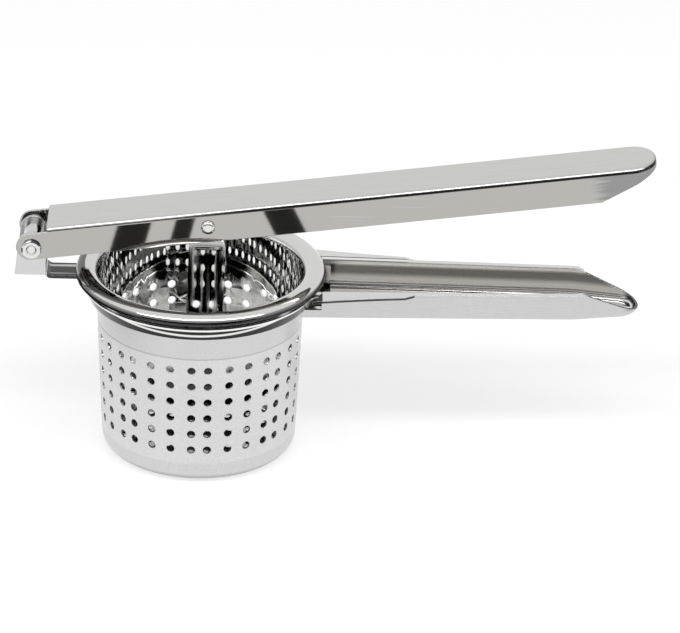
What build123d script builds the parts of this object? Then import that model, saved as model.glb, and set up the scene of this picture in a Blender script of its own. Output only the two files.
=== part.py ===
"""Potato ricer with a perforated basket, a ring frame with a trough handle, and a hinged pressing lever.

Units are millimetres. The origin is the centre of the basket's flat bottom, +Z is up and the handles
point along +X. The front, with the visible rivet heads, is towards -Y.
"""
import os
from math import atan2, cos, degrees, radians, sin

from build123d import *

# basket, a deep-drawn cup with a wide rim
basket_height = 80.3
basket_sheet = 0.9
basket_neck_radius = 42.9
basket_wall_draft = 3.1
basket_corner_radius = 6.0
basket_neck_bend = 3.0
rim_width = 8.1
rim_edge_bend = 3.2
rim_lip_depth = 3.4

# perforation of the basket
hole_diameter = 3.4
hole_rows = 6
hole_first_row_drop = 28.2
hole_last_row_height = 15.6
hole_group_count = 8
hole_group_angles = (0.0, 9.2, 21.3, 32.9)
hole_pattern_turn = -93.0
bottom_ring_count = 4
bottom_ring_holes = 6
bottom_hole_margin = 4.2
hole_cut_length = 12.0

# ring frame below the rim
ring_sheet = 1.2
ring_band_inset = 2.4
ring_band_depth = 5.6
ring_band_lean = 2.6
ring_drop = 2.2
ring_neck_bend = 5.0
ring_neck_length = 2.2
ring_collar_gap = 0.4
basket_seat_clearance = 0.3

# lower handle, a trough open upwards
handle_sheet = 1.0
handle_depth = 12.4
handle_root_width = 33.0
handle_end_width = 26.0
handle_root_inset = 2.9
handle_length = 128.5
handle_end_length = 27.0
handle_shoulder_bend = 30.0
handle_nose_length = 8.4
handle_nose_width = 18.8
handle_slant_length = 24.5
handle_slant_end_height = 2.2
handle_floor_bend = 3.2
handle_bead_width = 1.5
handle_basket_gap = 1.2
handle_lip_gap = 0.7
handle_rim_gap = 1.3
wing_root_half_width = 26.2
wing_tip_half_width = 19.4
wing_tip_length = 4.5
wing_length = 37.0
wing_edge_hollow = 0.6

# pressing lever, a channel open downwards
lever_sheet = 1.2
lever_width = 24.0
lever_top = 8.4
lever_bottom = -4.9
lever_fold = 2.0
lever_plate_start = 7.3
lever_length = 255.0
lever_end_flat = 3.0
lever_slant_length = 23.5
lever_slant_end_height = 5.2
lever_rise = 7.7

# hinge at the left of the ring
hinge_reach = 17.3
hinge_rise = 10.8
hinge_pin_radius = 2.5
hinge_head_radius = 4.1
hinge_head_height = 1.5
hinge_head_bend = 0.9
hinge_dimple_radius = 2.2
hinge_dimple_depth = 0.7
hinge_dimple_taper = 40
hinge_ear_offset = 0.5
hinge_ear_shoulder = 6.4
hinge_sleeve_radius = 3.9
hinge_washer_radius = 4.6
hinge_washer_height = 1.6
bracket_sheet = 1.5
bracket_cheek_radius = 5.6
bracket_foot_left = 7.0
bracket_foot_right = 5.6
bracket_tongue_half = 6.0
bracket_web_drop = 2.3
bracket_bend_reach = 13.6
bracket_flat_reach = 10.0
bracket_lip_gap = 0.3
running_clearance = 0.05
side_clearance = 0.4

# plunger hung from the lever
plunger_pivot_x = 3.12
plunger_pivot_above = 1.7
plunger_pin_radius = 2.2
plunger_head_radius = 2.9
plunger_head_height = 1.7
plunger_head_bend = 1.5
plunger_tilt = -1.5
plunger_length = 70.0
plunger_side_clearance = 3.9
plunger_disc_sheet = 1.2
plunger_disc_edge = 4.7
plunger_disc_bend = 2.0
stem_sheet = 1.5
stem_width = 15.0
stem_eye_radius = 5.0
stem_shoulder = 10.0
stem_bend = 2.5
stem_rivet_radius = 1.6
stem_rivet_head_radius = 2.8
stem_rivet_head_height = 1.2
stem_rivet_spacing = 9.0
spacer_radius = 3.6

# how far a cut runs past the piece it trims
cut_margin = 10.0

# basket, ring and handle, worked out from the neck of the basket outwards
rim_top = basket_height
rim_radius = basket_neck_radius + rim_width
basket_bottom_radius = basket_neck_radius - basket_wall_draft
hole_row_pitch = (basket_height - hole_first_row_drop - hole_last_row_height) / (hole_rows - 1)
bottom_ring_pitch = (basket_bottom_radius - basket_corner_radius - bottom_hole_margin) / bottom_ring_count
lip_bottom = rim_top - rim_lip_depth
handle_top = lip_bottom - handle_lip_gap
ring_collar_radius = basket_neck_radius + basket_neck_bend + ring_collar_gap
ring_band_radius = rim_radius - ring_band_inset
ring_top = handle_top - ring_drop
ring_bottom = ring_top - ring_band_depth
ring_lean_angle = degrees(atan2(ring_band_lean, ring_band_depth))
ring_neck_end_x = rim_radius + ring_neck_length
handle_root_x = basket_neck_radius - handle_root_inset
handle_tip_x = rim_radius + handle_length
handle_taper_end_x = handle_tip_x - handle_end_length
handle_nose_x = handle_tip_x - handle_nose_length
handle_slant_start_x = handle_tip_x - handle_slant_length
wing_end_x = rim_radius + wing_length
wing_tip_x = wing_end_x - wing_tip_length

# hinge, lever and plunger, worked out from the rim and the lever's width
hinge_x = -rim_radius - hinge_reach
hinge_z = rim_top + hinge_rise
rise = radians(lever_rise)
tilt = radians(plunger_tilt)
lever_end_radius = (lever_width - lever_end_flat) / 2
lever_slant_start = lever_length - lever_slant_length
lever_inner_half = lever_width / 2 - lever_sheet
cheek_outer_half = lever_inner_half - side_clearance - hinge_washer_height
cheek_inner_half = cheek_outer_half - bracket_sheet
leg_outer_half = lever_inner_half - side_clearance
leg_inner_half = leg_outer_half - stem_sheet
plunger_pivot_along = (plunger_pivot_x - hinge_x + plunger_pivot_above * sin(rise)) / cos(rise)
plunger_pivot_z = hinge_z + plunger_pivot_along * sin(rise) + plunger_pivot_above * cos(rise)
plunger_disc_radius = basket_bottom_radius - basket_sheet - plunger_side_clearance

# side-view planes, drawn as seen from the front, and the plunger's own frame with its stem downwards
side_plane = Plane(origin=(0, 0, 0), x_dir=(1, 0, 0), z_dir=(0, -1, 0))
lever_plane = Plane(origin=(hinge_x, 0, hinge_z), x_dir=(cos(rise), 0, sin(rise)), z_dir=(0, -1, 0))
hinge_plane = Plane(origin=(hinge_x, 0, hinge_z), x_dir=(1, 0, 0), z_dir=(0, -1, 0))
stem_plane = Plane(
    origin=(plunger_pivot_x, 0, plunger_pivot_z),
    x_dir=(cos(tilt), 0, sin(tilt)),
    z_dir=(0, -1, 0),
)
disc_plane = Plane(
    origin=(
        plunger_pivot_x + plunger_length * sin(tilt),
        0,
        plunger_pivot_z - plunger_length * cos(tilt),
    ),
    x_dir=(cos(tilt), 0, sin(tilt)),
    z_dir=(-sin(tilt), 0, cos(tilt)),
)

# basket: the sheet profile is drawn on its outer side and thickened inwards
with BuildPart() as basket:
    with BuildSketch(Plane.XZ):
        with BuildLine() as basket_line:
            Polyline(
                (0, 0),
                (basket_bottom_radius, 0),
                (basket_neck_radius, rim_top - basket_sheet),
                (rim_radius - basket_sheet, rim_top - basket_sheet),
                (rim_radius - basket_sheet, rim_top - rim_lip_depth),
            )
            floor_corner = basket_line.vertices().sort_by_distance((basket_bottom_radius, 0, 0))[0]
            fillet(floor_corner, basket_corner_radius)
            neck_corner = basket_line.vertices().sort_by_distance((basket_neck_radius, rim_top, 0))[0]
            fillet(neck_corner, basket_neck_bend)
            edge_corner = basket_line.vertices().sort_by_distance((rim_radius, rim_top, 0))[0]
            fillet(edge_corner, rim_edge_bend - basket_sheet)
            offset(amount=basket_sheet, side=Side.LEFT)
        make_face()
    revolve(axis=Axis.Z)
    # side holes, square rows in groups around the wall
    hole_places = []
    for row in range(hole_rows):
        row_z = rim_top - hole_first_row_drop - row * hole_row_pitch
        for group in range(hole_group_count):
            for step in hole_group_angles:
                turn = hole_pattern_turn + group * 360 / hole_group_count + step
                outwards = (cos(radians(turn)), sin(radians(turn)), 0)
                hole_plane = Plane(origin=(0, 0, row_z), z_dir=outwards).offset(basket_bottom_radius)
                hole_places.append(Location(hole_plane))
    with Locations(*hole_places):
        Cylinder(hole_diameter / 2, hole_cut_length, mode=Mode.SUBTRACT)
    # bottom holes in rings, the centre stays whole
    floor_places = []
    for ring_number in range(1, bottom_ring_count + 1):
        ring_holes = PolarLocations(bottom_ring_pitch * ring_number, bottom_ring_holes * ring_number)
        floor_places.extend(ring_holes.locations)
    with Locations(*floor_places):
        Cylinder(hole_diameter / 2, hole_cut_length / 2, mode=Mode.SUBTRACT)
basket.part.label = "basket"

# outer plan of the handle trough, used for the trough, its bead and the cut in the ring
root_half = handle_root_width / 2
end_half = handle_end_width / 2
nose_half = handle_nose_width / 2
with BuildSketch() as trough_outline:
    with BuildLine():
        Polyline(
            (handle_nose_x, nose_half),
            (handle_taper_end_x, end_half),
            (handle_root_x, root_half),
            (handle_root_x, -root_half),
            (handle_taper_end_x, -end_half),
            (handle_nose_x, -nose_half),
        )
        ThreePointArc((handle_nose_x, -nose_half), (handle_tip_x, 0), (handle_nose_x, nose_half))
    make_face()
    shoulders = trough_outline.vertices().sort_by_distance((handle_taper_end_x, end_half, 0))[:1]
    shoulders += trough_outline.vertices().sort_by_distance((handle_taper_end_x, -end_half, 0))[:1]
    fillet(shoulders, handle_shoulder_bend)
with BuildSketch() as trough_hollow_outline:
    add(trough_outline.sketch)
    offset(amount=-handle_sheet, mode=Mode.REPLACE)

# frame ring: a leaning band whose ends bend into the handle's trough, and a collar under the rim
collar_top = rim_top - basket_sheet - basket_seat_clearance
with BuildSketch() as ring_outline:
    add(trough_hollow_outline.sketch)
    with Locations((ring_neck_end_x + cut_margin, 0)):
        Rectangle(handle_length, handle_root_width, align=(Align.MIN, Align.CENTER), mode=Mode.SUBTRACT)
    Circle(ring_band_radius)
    ring_corners = ring_outline.vertices().sort_by_distance((ring_band_radius, root_half, 0))[:1]
    ring_corners += ring_outline.vertices().sort_by_distance((ring_band_radius, -root_half, 0))[:1]
    fillet(ring_corners, ring_neck_bend)
with BuildSketch() as ring_hollow_outline:
    add(ring_outline.sketch)
    offset(amount=-ring_sheet, mode=Mode.REPLACE)
with BuildPart() as frame_ring:
    with BuildSketch(Plane.XY.offset(ring_top)):
        add(ring_outline.sketch)
    extrude(amount=-ring_band_depth, taper=ring_lean_angle)
    with BuildSketch(Plane.XY.offset(ring_top)):
        add(ring_hollow_outline.sketch)
    extrude(amount=-ring_band_depth, taper=ring_lean_angle, mode=Mode.SUBTRACT)
    with BuildSketch(Plane.XY.offset(ring_bottom)):
        with Locations((ring_neck_end_x, 0)):
            Rectangle(handle_length, handle_root_width, align=(Align.MIN, Align.CENTER))
    extrude(amount=handle_depth, mode=Mode.SUBTRACT)
    with BuildSketch(Plane.XY.offset(collar_top)):
        Circle(ring_collar_radius + ring_sheet)
        Circle(ring_collar_radius, mode=Mode.SUBTRACT)
    extrude(amount=ring_top - ring_sheet - collar_top)
frame_ring.part.label = "frame_ring"

# lower handle: trough with a rounded end, cut slanting down to the tip
handle_floor = handle_top - handle_depth
wing_middle_x = (handle_root_x + wing_tip_x) / 2
wing_middle_half = (wing_root_half_width + wing_tip_half_width) / 2 - wing_edge_hollow
with BuildPart() as trough_hollow:
    with BuildSketch(Plane.XY.offset(handle_floor + handle_sheet)):
        add(trough_hollow_outline.sketch)
    extrude(amount=2 * handle_depth)
    fillet(trough_hollow.faces().sort_by(Axis.Z)[0].edges(), handle_floor_bend - handle_sheet)
with BuildPart() as lower_handle:
    with BuildSketch(Plane.XY.offset(handle_floor)):
        add(trough_outline.sketch)
    extrude(amount=handle_depth)
    fillet(lower_handle.faces().sort_by(Axis.Z)[0].edges(), handle_floor_bend)
    # bead along the top edges and the wings that spread to the ring
    with BuildSketch(Plane.XY.offset(handle_top)):
        add(trough_outline.sketch)
        offset(amount=handle_bead_width, mode=Mode.REPLACE)
        with BuildLine():
            Polyline(
                (handle_root_x, wing_root_half_width),
                (handle_root_x, -wing_root_half_width),
            )
            Spline(
                (handle_root_x, -wing_root_half_width),
                (wing_middle_x, -wing_middle_half),
                (wing_tip_x, -wing_tip_half_width),
            )
            Polyline(
                (wing_tip_x, -wing_tip_half_width),
                (wing_end_x, -root_half),
                (wing_end_x, root_half),
                (wing_tip_x, wing_tip_half_width),
            )
            Spline(
                (wing_tip_x, wing_tip_half_width),
                (wing_middle_x, wing_middle_half),
                (handle_root_x, wing_root_half_width),
            )
        make_face()
    extrude(amount=-handle_sheet)
    add(trough_hollow.part, mode=Mode.SUBTRACT)
    # slanted end
    with BuildSketch(side_plane):
        with BuildLine():
            Polyline(
                (handle_slant_start_x, handle_top + cut_margin),
                (handle_slant_start_x, handle_top),
                (handle_tip_x, handle_floor + handle_slant_end_height),
                (handle_tip_x + cut_margin, handle_floor + handle_slant_end_height),
                (handle_tip_x + cut_margin, handle_top + cut_margin),
                close=True,
            )
        make_face()
    extrude(amount=handle_root_width, both=True, mode=Mode.SUBTRACT)
    # room for the basket, and for the rim and the ring above the ring's lower edge
    with Locations((0, 0, handle_top)):
        Cylinder(basket_neck_radius + handle_basket_gap, 4 * handle_depth, mode=Mode.SUBTRACT)
    with Locations((0, 0, ring_bottom)):
        Cylinder(
            rim_radius + handle_rim_gap,
            2 * handle_depth,
            align=(Align.CENTER, Align.CENTER, Align.MIN),
            mode=Mode.SUBTRACT,
        )
lower_handle.part.label = "lower_handle"

# hinge bracket: two cheeks on a web, and a tongue that steps down to reach the ring's collar
web_bottom = rim_top - bracket_web_drop
web_top = web_bottom + bracket_sheet
tongue_top = lip_bottom - bracket_lip_gap
tongue_bend_x = -rim_radius - bracket_bend_reach
tongue_flat_x = -rim_radius - bracket_flat_reach
with BuildPart() as hinge_bracket:
    with BuildSketch(side_plane):
        with Locations((hinge_x, hinge_z)):
            Circle(bracket_cheek_radius)
        with BuildLine():
            Polyline(
                (hinge_x - bracket_cheek_radius, hinge_z),
                (hinge_x - bracket_foot_left, web_bottom),
                (hinge_x + bracket_foot_right, web_bottom),
                (hinge_x + bracket_cheek_radius, hinge_z),
                close=True,
            )
        make_face()
    extrude(amount=cheek_outer_half, both=True)
    with BuildSketch(side_plane):
        with Locations((hinge_x, hinge_z)):
            Rectangle(4 * bracket_cheek_radius, 2 * (hinge_z - web_top))
    extrude(amount=cheek_inner_half, both=True, mode=Mode.SUBTRACT)
    with BuildSketch(side_plane):
        with BuildLine() as tongue_line:
            Polyline(
                (hinge_x, web_top),
                (tongue_bend_x, web_top),
                (tongue_flat_x, tongue_top),
                (-ring_collar_radius, tongue_top),
            )
            upper_bend = tongue_line.vertices().sort_by_distance((tongue_bend_x, web_top, 0))[0]
            fillet(upper_bend, 3 * bracket_sheet / 2)
            lower_bend = tongue_line.vertices().sort_by_distance((tongue_flat_x, tongue_top, 0))[0]
            fillet(lower_bend, bracket_sheet / 2)
            offset(amount=bracket_sheet, side=Side.RIGHT)
        make_face()
    extrude(amount=bracket_tongue_half, both=True)
    with Locations((0, 0, ring_top)):
        Cylinder(
            ring_collar_radius + ring_sheet,
            rim_top - ring_top,
            align=(Align.CENTER, Align.CENTER, Align.MIN),
            mode=Mode.SUBTRACT,
        )
    with BuildSketch(hinge_plane):
        Circle(hinge_pin_radius + running_clearance)
    extrude(amount=lever_width, both=True, mode=Mode.SUBTRACT)
hinge_bracket.part.label = "hinge_bracket"

# sleeve on the hinge pin, held between the cheeks
with BuildPart() as hinge_sleeve:
    with BuildSketch(hinge_plane):
        Circle(hinge_sleeve_radius)
        Circle(hinge_pin_radius + running_clearance, mode=Mode.SUBTRACT)
    extrude(amount=cheek_inner_half, both=True)
hinge_sleeve.part.label = "hinge_sleeve"

# lever: channel with a folded top, rounded ears at the hinge and a slanted rounded end
ear_radius = (hinge_ear_shoulder - lever_bottom) / 2
ear_middle = (hinge_ear_shoulder + lever_bottom) / 2
lever_up = Axis(lever_plane.origin, lever_plane.y_dir)
with BuildPart() as lever_hollow:
    with BuildSketch(lever_plane):
        with BuildLine():
            Polyline(
                (-4 * ear_radius, 2 * lever_bottom),
                (lever_length - lever_sheet, 2 * lever_bottom),
                (lever_length - lever_sheet, lever_top - lever_sheet),
                (-4 * ear_radius, lever_top - lever_sheet),
                close=True,
            )
        make_face()
    extrude(amount=lever_inner_half, both=True)
    fillet(lever_hollow.edges().filter_by(lever_up).sort_by(Axis.X)[-2:], lever_end_radius - lever_sheet)
    hollow_top_edges = lever_hollow.faces().filter_by(lever_up).sort_by(lever_up)[-1].edges()
    fillet(hollow_top_edges.sort_by(Axis.X)[1:], lever_fold - lever_sheet)
with BuildPart() as lever:
    with BuildSketch(lever_plane):
        with BuildLine():
            Polyline(
                (-hinge_ear_offset, lever_bottom),
                (lever_slant_start, lever_bottom),
                (lever_length, lever_slant_end_height),
                (lever_length, lever_top),
                (lever_plate_start, lever_top),
                (lever_plate_start, hinge_ear_shoulder),
                (-hinge_ear_offset, hinge_ear_shoulder),
            )
            ThreePointArc(
                (-hinge_ear_offset, hinge_ear_shoulder),
                (-hinge_ear_offset - ear_radius, ear_middle),
                (-hinge_ear_offset, lever_bottom),
            )
        make_face()
    extrude(amount=lever_width / 2, both=True)
    fillet(lever.edges().filter_by(lever_up).sort_by(Axis.X)[-2:], lever_end_radius)
    lever_top_edges = lever.faces().filter_by(lever_up).sort_by(lever_up)[-1].edges()
    fillet(lever_top_edges.sort_by(Axis.X)[1:], lever_fold)
    add(lever_hollow.part, mode=Mode.SUBTRACT)
    with BuildSketch(lever_plane):
        with Locations((lever_plate_start - ear_radius * 2, 0)):
            Rectangle(4 * ear_radius, 6 * ear_radius)
    extrude(amount=lever_inner_half, both=True, mode=Mode.SUBTRACT)
    with BuildSketch(lever_plane):
        Circle(hinge_pin_radius)
        with Locations((plunger_pivot_along, plunger_pivot_above)):
            Circle(plunger_pin_radius)
    extrude(amount=lever_width, both=True, mode=Mode.SUBTRACT)
lever.part.label = "lever"

# hinge pin, fixed in the lever's ears, with a dimpled head on each side
with BuildPart() as hinge_pin:
    with BuildSketch(hinge_plane):
        Circle(hinge_pin_radius)
    extrude(amount=lever_width / 2, both=True)
    for side in (1, -1):
        with BuildSketch(hinge_plane.offset(side * lever_width / 2)):
            Circle(hinge_head_radius)
        extrude(amount=side * hinge_head_height)
    head_faces = hinge_pin.faces().filter_by(Axis.Y).sort_by(Axis.Y)
    fillet([head_faces[0].edges()[0], head_faces[-1].edges()[0]], hinge_head_bend)
    for side in (1, -1):
        with BuildSketch(hinge_plane.offset(side * (lever_width / 2 + hinge_head_height))):
            Circle(hinge_dimple_radius)
        extrude(amount=-side * hinge_dimple_depth, taper=hinge_dimple_taper, mode=Mode.SUBTRACT)
hinge_pin.part.label = "hinge_pin"

# washers between the lever's ears and the bracket's cheeks
with BuildPart() as hinge_washers:
    for side in (1, -1):
        with BuildSketch(hinge_plane.offset(side * lever_inner_half)):
            Circle(hinge_washer_radius)
            Circle(hinge_pin_radius, mode=Mode.SUBTRACT)
        extrude(amount=-side * hinge_washer_height)
hinge_washers.part.label = "hinge_washers"

# plunger disc: round plate with a turned-up edge
disc_profile_plane = Plane(origin=disc_plane.origin, x_dir=disc_plane.x_dir, z_dir=(0, -1, 0))
disc_axis = Axis(disc_plane.origin, disc_plane.z_dir)
with BuildPart() as plunger_disc:
    with BuildSketch(disc_profile_plane):
        with BuildLine() as disc_line:
            Polyline(
                (0, -plunger_disc_sheet),
                (plunger_disc_radius, -plunger_disc_sheet),
                (plunger_disc_radius, plunger_disc_edge - plunger_disc_sheet),
            )
            disc_corner = disc_line.vertices().sort_by_distance((plunger_disc_radius, 0, 0))[0]
            fillet(disc_corner, plunger_disc_bend)
            offset(amount=plunger_disc_sheet, side=Side.LEFT)
        make_face()
    revolve(axis=disc_axis)
    with Locations(disc_plane):
        with GridLocations(stem_rivet_spacing, 0, 2, 1):
            Cylinder(stem_rivet_radius, 4 * plunger_disc_sheet, mode=Mode.SUBTRACT)
plunger_disc.part.label = "plunger_disc"

# plunger stem: a strap bent to a U, its two legs hang on the plunger pin
with BuildPart() as plunger_stem:
    with BuildSketch(stem_plane):
        Circle(stem_eye_radius)
        with BuildLine():
            Polyline(
                (-stem_eye_radius, 0),
                (stem_eye_radius, 0),
                (stem_width / 2, -stem_shoulder),
                (stem_width / 2, -plunger_length),
                (-stem_width / 2, -plunger_length),
                (-stem_width / 2, -stem_shoulder),
                close=True,
            )
        make_face()
    extrude(amount=leg_outer_half, both=True)
    foot_edges = plunger_stem.faces().filter_by(disc_axis).sort_by(disc_axis)[0].edges()
    fillet(foot_edges.filter_by(GeomType.LINE).sort_by(Axis.Y)[0], stem_bend)
    foot_edges = plunger_stem.faces().filter_by(disc_axis).sort_by(disc_axis)[0].edges()
    fillet(foot_edges.filter_by(GeomType.LINE).sort_by(Axis.Y)[-1], stem_bend)
    with BuildPart(mode=Mode.PRIVATE) as stem_gap:
        with BuildSketch(stem_plane):
            with Locations((0, -(plunger_length - stem_sheet) / 2 + stem_eye_radius)):
                Rectangle(2 * stem_width, plunger_length - stem_sheet + 2 * stem_eye_radius)
        extrude(amount=leg_inner_half, both=True)
        gap_foot = stem_gap.faces().filter_by(disc_axis).sort_by(disc_axis)[0].edges()
        fillet(gap_foot.sort_by(Axis.Y)[0], stem_bend - stem_sheet)
        gap_foot = stem_gap.faces().filter_by(disc_axis).sort_by(disc_axis)[0].edges()
        fillet(gap_foot.sort_by(Axis.Y)[-1], stem_bend - stem_sheet)
    add(stem_gap.part, mode=Mode.SUBTRACT)
    with BuildSketch(stem_plane):
        Circle(plunger_pin_radius + running_clearance)
    extrude(amount=lever_width, both=True, mode=Mode.SUBTRACT)
    with Locations(disc_plane):
        with GridLocations(stem_rivet_spacing, 0, 2, 1):
            Cylinder(stem_rivet_radius, 4 * stem_sheet, mode=Mode.SUBTRACT)
plunger_stem.part.label = "plunger_stem"

# rivets that hold the stem's foot to the disc
with BuildPart() as stem_rivets:
    with Locations(disc_plane):
        with GridLocations(stem_rivet_spacing, 0, 2, 1):
            with Locations((0, 0, -plunger_disc_sheet)):
                Cylinder(
                    stem_rivet_radius,
                    stem_sheet + plunger_disc_sheet,
                    align=(Align.CENTER, Align.CENTER, Align.MIN),
                )
            with Locations((0, 0, stem_sheet)):
                Cylinder(
                    stem_rivet_head_radius,
                    stem_rivet_head_height,
                    align=(Align.CENTER, Align.CENTER, Align.MIN),
                )
stem_rivets.part.label = "stem_rivets"

# plunger pin, fixed in the lever's skirts, with a domed head on each side
with BuildPart() as plunger_pin:
    with BuildSketch(stem_plane):
        Circle(plunger_pin_radius)
    extrude(amount=lever_width / 2, both=True)
    for side in (1, -1):
        with BuildSketch(stem_plane.offset(side * lever_width / 2)):
            Circle(plunger_head_radius)
        extrude(amount=side * plunger_head_height)
    dome_faces = plunger_pin.faces().filter_by(Axis.Y).sort_by(Axis.Y)
    fillet([dome_faces[0].edges()[0], dome_faces[-1].edges()[0]], plunger_head_bend)
plunger_pin.part.label = "plunger_pin"

# tube on the plunger pin that keeps the stem's legs apart
with BuildPart() as plunger_spacer:
    with BuildSketch(stem_plane):
        Circle(spacer_radius)
        Circle(plunger_pin_radius + running_clearance, mode=Mode.SUBTRACT)
    extrude(amount=leg_inner_half, both=True)
plunger_spacer.part.label = "plunger_spacer"

os.makedirs("parts", exist_ok=True)
export_step(basket.part, "parts/basket.step")
export_step(frame_ring.part, "parts/frame_ring.step")
export_step(lower_handle.part, "parts/lower_handle.step")
export_step(hinge_bracket.part, "parts/hinge_bracket.step")
export_step(hinge_sleeve.part, "parts/hinge_sleeve.step")
export_step(lever.part, "parts/lever.step")
export_step(hinge_pin.part, "parts/hinge_pin.step")
export_step(hinge_washers.part, "parts/hinge_washers.step")
export_step(plunger_disc.part, "parts/plunger_disc.step")
export_step(plunger_stem.part, "parts/plunger_stem.step")
export_step(stem_rivets.part, "parts/stem_rivets.step")
export_step(plunger_pin.part, "parts/plunger_pin.step")
export_step(plunger_spacer.part, "parts/plunger_spacer.step")
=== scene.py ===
"""Looks of a potato ricer in pressed stainless steel: finishes, studio and camera.

Every size is in metres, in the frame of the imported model: +Z is up, the handles point along +X and the
front is towards -Y. In the classes of the sub-assemblies, a field that ends in _look is the look of the
zone it names. One that ends in _facing is the span of a part of the normal over which that zone begins,
and one that ends in _past_facing is the span over which it ends.
"""

import logging
import math
from dataclasses import dataclass, field
from enum import Enum
from typing import Any, Optional, Union

import bpy
from mathutils import Matrix, Vector


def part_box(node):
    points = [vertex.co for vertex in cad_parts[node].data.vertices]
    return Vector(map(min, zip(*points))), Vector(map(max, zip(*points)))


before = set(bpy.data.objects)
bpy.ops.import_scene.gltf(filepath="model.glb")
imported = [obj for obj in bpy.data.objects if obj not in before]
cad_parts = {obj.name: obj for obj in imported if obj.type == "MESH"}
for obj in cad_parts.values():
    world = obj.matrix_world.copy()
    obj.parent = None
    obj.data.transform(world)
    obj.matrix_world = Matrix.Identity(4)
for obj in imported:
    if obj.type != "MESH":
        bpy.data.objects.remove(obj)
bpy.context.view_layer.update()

Socket = bpy.types.NodeSocket
Colour = tuple[float, float, float]
Point = tuple[float, float, float]
Pair = tuple[float, float]
Span = tuple[float, float]  # the value at which a ramp gives 0, and the one at which it gives 1
Feed = Union[Socket, float, tuple]
Feeds = dict[Union[str, int], Feed]
LOG = logging.getLogger("potato_ricer")
NUMBER, VECTOR = "NodeSocketFloat", "NodeSocketVector"


class NodeBench:
    """Adds nodes to one tree and wires them together."""

    def __init__(self, tree: bpy.types.NodeTree) -> None:
        """Keeps the node tree to work on."""
        self.tree = tree

    def add(self, kind: str, feeds: Optional[Feeds] = None, **settings: Any) -> bpy.types.Node:
        """Adds one node.

        Args:
            kind: the node's Blender type name.
            feeds: what its inputs take, by their names or numbers.
            settings: properties to set on it.

        Returns:
            The new node.
        """
        node = self.tree.nodes.new(kind)
        for name, value in settings.items():  # first, since a group's tree brings its inputs
            setattr(node, name, value)
        for label, value in (feeds or {}).items():
            self.feed(node.inputs[label], value)
        return node

    def feed(self, socket: Socket, value: Feed) -> None:
        """Wires a socket to another one, or sets its value.

        Args:
            socket: the input to fill.
            value: an output socket, a number or a vector.
        """
        if isinstance(value, Socket):
            self.tree.links.new(value, socket)
        else:
            socket.default_value = value

    def math(self, operation: str, first: Feed, second: Feed = 0.0) -> Socket:
        """Adds a Math node with its two values, and gives its result."""
        return self.add("ShaderNodeMath", {0: first, 1: second}, operation=operation).outputs[0]

    def times(self, *values: Feed) -> Feed:
        """Multiplies values, such as masks that all have to hold.

        Args:
            values: one or more values.

        Returns:
            Their product.
        """
        product = values[0]
        for value in values[1:]:
            product = self.math("MULTIPLY", product, value)
        return product

    def ramp(self, value: Feed, low: float, high: float) -> Socket:
        """Maps a value to 0 at low and to 1 at high, and holds it beyond them."""
        feeds = {"Value": value, "From Min": low, "From Max": high}
        return self.add("ShaderNodeMapRange", feeds, interpolation_type="SMOOTHSTEP").outputs["Result"]

    def line(self, value: Feed, place: Feed, outer: float, inner: float) -> Socket:
        """Marks where a value lies near a place: 1 as far off as inner, 0 from outer on."""
        return self.ramp(self.math("ABSOLUTE", self.math("SUBTRACT", value, place)), outer, inner)

    def length(self, first: Feed, second: Feed) -> Socket:
        """Gives the distance from the origin of a point with two coordinates."""
        squares = self.math("ADD", self.math("POWER", first, 2.0), self.math("POWER", second, 2.0))
        return self.math("SQRT", squares)

    def noise(self, vector: Socket, scale: Feed, detail: float, roughness: float = 0.5) -> Socket:
        """Adds a Noise Texture on a vector, and gives its value."""
        feeds = {"Vector": vector, "Scale": scale, "Detail": detail, "Roughness": roughness}
        return self.add("ShaderNodeTexNoise", feeds).outputs["Fac"]

    def blend(self, mask: Feed, first: Feed, second: Feed) -> Socket:
        """Mixes two numbers: a mask of 0 gives the first, 1 the second."""
        return self.add("ShaderNodeMix", {0: mask, 2: first, 3: second}, data_type="FLOAT").outputs[0]

    def blend_colour(self, mask: Feed, first: Feed, second: Feed) -> Socket:
        """Mixes two colours: a mask of 0 gives the first, 1 the second."""
        feeds = {0: mask, 6: self.rgba(first), 7: self.rgba(second)}
        return self.add("ShaderNodeMix", feeds, data_type="RGBA").outputs[2]

    @staticmethod
    def rgba(value: Feed) -> Feed:
        """Gives a plain colour its alpha, and leaves a socket as it is."""
        return (*value, 1.0) if isinstance(value, tuple) and len(value) == 3 else value


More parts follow.
